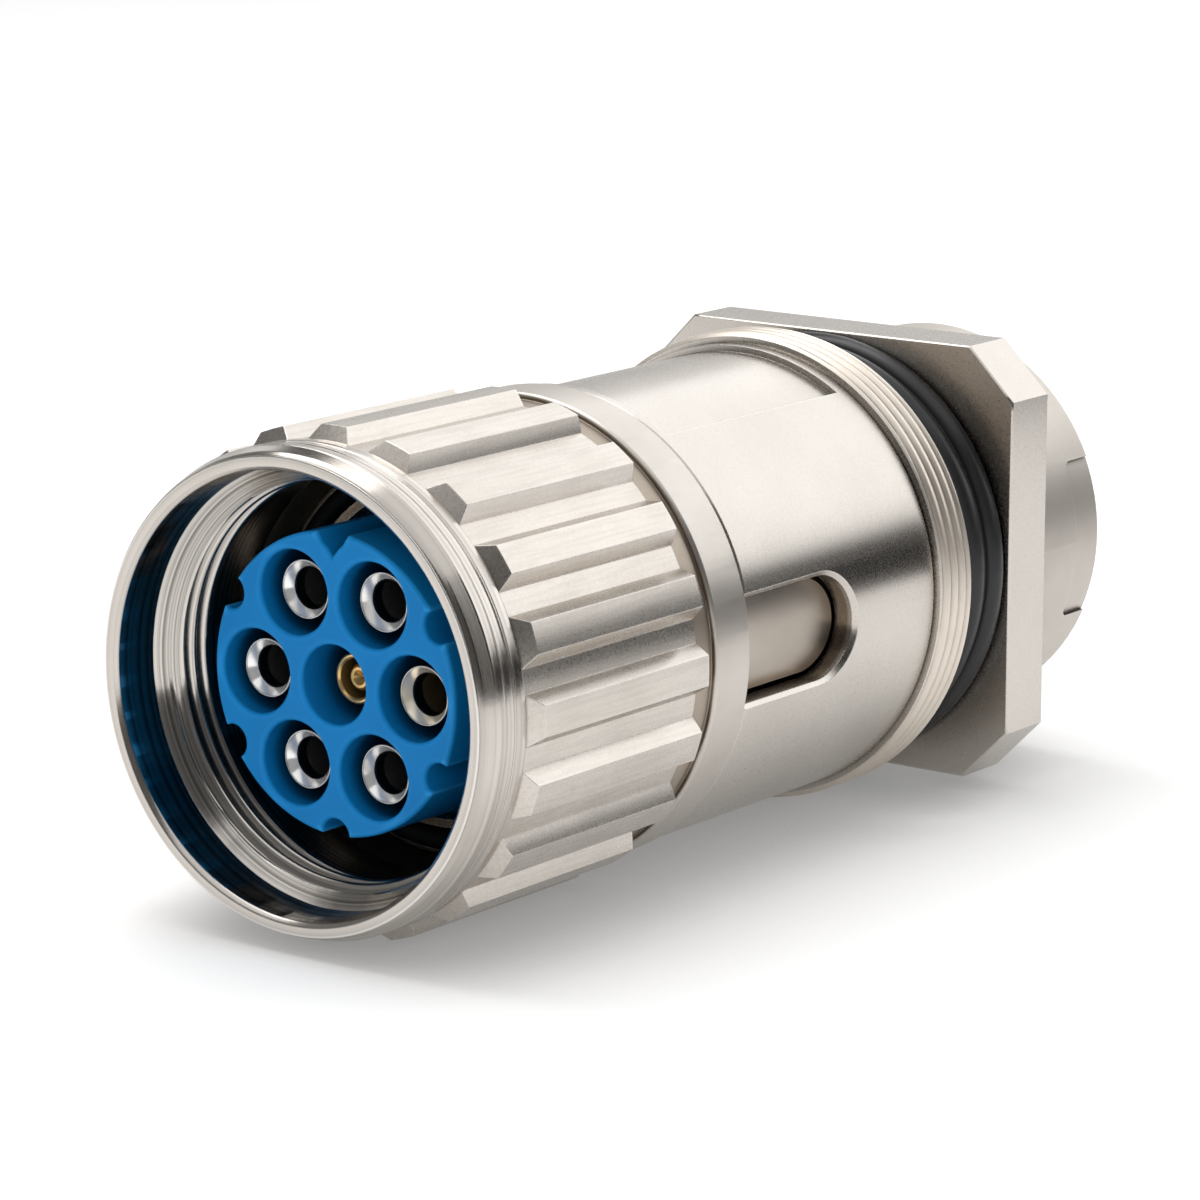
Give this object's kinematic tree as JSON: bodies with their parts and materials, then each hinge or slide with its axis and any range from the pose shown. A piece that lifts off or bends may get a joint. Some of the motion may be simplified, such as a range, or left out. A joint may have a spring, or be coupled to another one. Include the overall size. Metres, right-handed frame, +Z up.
{
  "type": "circular panel receptacle",
  "caption": "Circular power connector with a fluted coupling nut, sockets in a blue insert, a panel thread and a square flange.",
  "frame": {"origin": "centre of the flange's front face, which seats against the back of the panel", "axes": "+Y along the connector's axis from the mating face to the rear, +Z up through the insert's keyway"},
  "size_m": [0.0283, 0.0631, 0.0282],
  "materials": {
    "nickel_turned": "turned and milled, bright nickel plate",
    "nickel_satin": "satin nickel plate",
    "nickel_sleeve": "nickel plate",
    "spring_steel": "bright spring steel",
    "blue_moulding": "smooth semi-matt moulding",
    "black_rubber": "soft black rubber",
    "silver_plate": "bright silver plate",
    "gold_plate": "gold plate"
  },
  "bodies": {
    "housing": {"nut_retaining_ring": "spring_steel", "nut_friction_ring": "black_rubber", "mating_seal": "black_rubber", "shell_body": "nickel_satin", "window_sleeve": "nickel_sleeve", "insert_front": "blue_moulding", "insert_rear": "blue_moulding", "insert_seal": "black_rubber", "centre_sleeve": "gold_plate", "centre_pin": "gold_plate", "contact_lock_plate": "blue_moulding", "spacer_tube": "nickel_sleeve", "shell_seal": "black_rubber", "flange_housing": "nickel_satin", "panel_seal": "black_rubber", "rear_ring_nut": "nickel_satin", "spring_washer": "spring_steel", "socket_contact_1": "silver_plate", "socket_contact_2": "silver_plate", "socket_contact_3": "silver_plate", "socket_contact_4": "silver_plate", "socket_contact_5": "silver_plate", "socket_contact_6": "silver_plate"},
    "coupling_nut": {"coupling_nut": "nickel_turned"}
  },
  "joints": [
    {"name": "coupling_nut_turn", "type": "hinge", "parent": "housing", "child": "coupling_nut", "pos_m": [0, -0.0299, 0], "axis": [0, 1, 0], "continuous": true}
  ]
}
